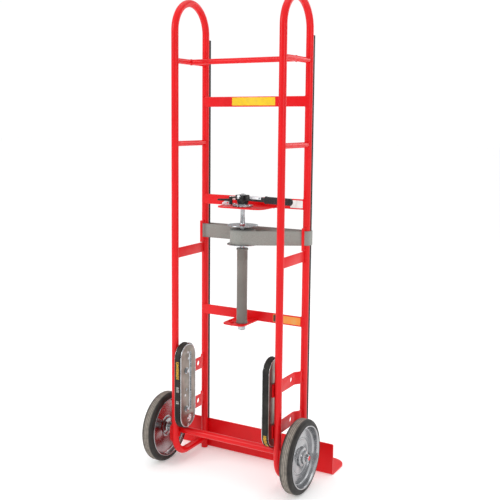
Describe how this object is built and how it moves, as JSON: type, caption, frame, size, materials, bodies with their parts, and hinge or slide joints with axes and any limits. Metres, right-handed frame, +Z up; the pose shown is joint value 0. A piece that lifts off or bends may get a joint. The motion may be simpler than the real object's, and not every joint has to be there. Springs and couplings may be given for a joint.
{
  "type": "appliance hand truck",
  "caption": "Tall appliance hand truck with looped tube side frames, nose plate, dished wheels, belt stair climbers and a ratchet that winds a webbing strap from a spool on a recoil tube.",
  "frame": {"origin": "on the floor, at the centre of the whole truck's box", "axes": "+Z up, +Y towards the load and the toe, +X to the right as seen by someone standing behind the truck"},
  "size_m": [0.64, 0.446, 1.676],
  "materials": {
    "red_enamel": "glossy baked red enamel on welded steel",
    "zinc_plate": "zinc plated steel, satin",
    "polished_aluminium": "polished aluminium, light turning marks",
    "black_rubber": "matt black rubber",
    "tyre_rubber": "black rubber, grey dust on the tread",
    "grip_vinyl": "ribbed black vinyl grip",
    "black_steel": "black oxide steel, satin",
    "grey_webbing": "woven grey polyester webbing",
    "grey_enamel": "grey enamel, satin"
  },
  "bodies": {
    "frame": {"axle": "red_enamel", "axle_tube": "red_enamel", "left_axle_bracket": "red_enamel", "left_axle_washer": "zinc_plate", "left_climber_belt": "black_rubber", "left_climber_cover": "zinc_plate", "left_climber_housing": "zinc_plate", "left_climber_lower_bolt": "zinc_plate", "left_climber_lower_bracket": "red_enamel", "left_climber_upper_bolt": "zinc_plate", "left_climber_upper_bracket": "red_enamel", "left_flat_rung": "red_enamel", "left_front_strip": "black_rubber", "left_middle_rung": "red_enamel", "left_side_frame": "red_enamel", "left_strap_guide": "red_enamel", "left_top_rung": "red_enamel", "lower_flat_bar": "red_enamel", "lower_plate": "red_enamel", "nose_plate": "red_enamel", "ratchet_bar": "red_enamel", "ratchet_plate": "red_enamel", "recoil_spring": "zinc_plate", "recoil_tube": "grey_enamel", "right_axle_bracket": "red_enamel", "right_axle_washer": "zinc_plate", "right_climber_belt": "black_rubber", "right_climber_cover": "zinc_plate", "right_climber_housing": "zinc_plate", "right_climber_lower_bolt": "zinc_plate", "right_climber_lower_bracket": "red_enamel", "right_climber_upper_bolt": "zinc_plate", "right_climber_upper_bracket": "red_enamel", "right_flat_rung": "red_enamel", "right_front_strip": "black_rubber", "right_middle_rung": "red_enamel", "right_side_frame": "red_enamel", "right_strap_guide": "red_enamel", "right_top_rung": "red_enamel", "strap_run": "grey_webbing", "top_crossbar": "red_enamel", "upper_flat_bar": "red_enamel"},
    "left_wheel": {"left_tyre": "tyre_rubber", "left_wheel_disc": "polished_aluminium"},
    "right_wheel": {"right_tyre": "tyre_rubber", "right_wheel_disc": "polished_aluminium"},
    "drum": {"strap_drum": "zinc_plate", "strap_roll": "grey_webbing", "ratchet_gear": "zinc_plate", "lower_nut": "zinc_plate"},
    "handle": {"ratchet_handle": "black_steel", "handle_grip": "grip_vinyl"},
    "drive_pawl": {"drive_pawl": "black_steel"},
    "holding_pawl": {"holding_pawl": "zinc_plate"},
    "left_upper_roller": {"left_upper_roller": "zinc_plate"},
    "left_lower_roller": {"left_lower_roller": "zinc_plate"},
    "right_upper_roller": {"right_upper_roller": "zinc_plate"},
    "right_lower_roller": {"right_lower_roller": "zinc_plate"}
  },
  "joints": [
    {"name": "left_wheel_spin", "type": "hinge", "parent": "frame", "child": "left_wheel", "pos_m": [-0.2755, -0.096, 0.127], "axis": [1, 0, 0], "continuous": true},
    {"name": "left_upper_roller_spin", "type": "hinge", "parent": "frame", "child": "left_upper_roller", "pos_m": [-0.1759, -0.116, 0.4283], "axis": [1, 0, 0], "continuous": true},
    {"name": "left_lower_roller_spin", "type": "hinge", "parent": "frame", "child": "left_lower_roller", "pos_m": [-0.1759, -0.116, 0.1827], "axis": [1, 0, 0], "continuous": true},
    {"name": "right_wheel_spin", "type": "hinge", "parent": "frame", "child": "right_wheel", "pos_m": [0.2755, -0.096, 0.127], "axis": [1, 0, 0], "continuous": true},
    {"name": "right_upper_roller_spin", "type": "hinge", "parent": "frame", "child": "right_upper_roller", "pos_m": [0.1759, -0.116, 0.4283], "axis": [1, 0, 0], "continuous": true},
    {"name": "right_lower_roller_spin", "type": "hinge", "parent": "frame", "child": "right_lower_roller", "pos_m": [0.1759, -0.116, 0.1827], "axis": [1, 0, 0], "continuous": true},
    {"name": "drum_turn", "type": "hinge", "parent": "frame", "child": "drum", "pos_m": [0, -0.015, 0.85], "axis": [0, 0, 1], "continuous": true},
    {"name": "handle_swing", "type": "hinge", "parent": "frame", "child": "handle", "pos_m": [0, -0.015, 0.985], "axis": [0, 0, 1], "range_deg": [-90, 12]},
    {"name": "drive_pawl_lift", "type": "hinge", "parent": "handle", "child": "drive_pawl", "pos_m": [-0.03, -0.047, 0.98], "axis": [0, 0, 1], "range_deg": [0, 12]},
    {"name": "holding_pawl_lift", "type": "hinge", "parent": "frame", "child": "holding_pawl", "pos_m": [-0.06, 0.007, 0.959], "axis": [0, 0, 1], "range_deg": [0, 15]}
  ],
  "couplings": [
    {"joint": "left_upper_roller_spin", "follows": "left_lower_roller_spin", "ratio": 1},
    {"joint": "right_upper_roller_spin", "follows": "right_lower_roller_spin", "ratio": 1}
  ]
}
